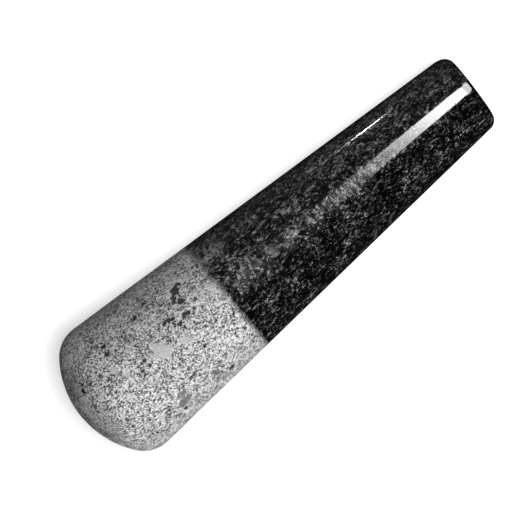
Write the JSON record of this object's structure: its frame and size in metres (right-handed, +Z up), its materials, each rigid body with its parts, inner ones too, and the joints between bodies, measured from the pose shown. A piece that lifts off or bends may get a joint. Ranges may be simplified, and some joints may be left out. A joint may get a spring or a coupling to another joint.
{
  "type": "stone pestle",
  "caption": "Tapered solid granite pestle with a rough domed head for grinding and a polished grip, lying on its side.",
  "frame": {"origin": "on the surface that the pestle lies on, under the middle of its box", "axes": "+Z up; +X along the pestle from the domed head at -X to the grip end at +X; the pestle lies on the lowest line of its taper, so its own axis drops 3.8 degrees towards +X; the grip end face leans 3 degrees out of square towards -Y"},
  "size_m": [0.165, 0.0472, 0.0472],
  "materials": {
    "granite": "one speckled granite in two finishes: rough, matt and pale on the head, polished and nearly black on the grip"
  },
  "bodies": {
    "root": {"pestle": "granite"}
  },
  "joints": []
}
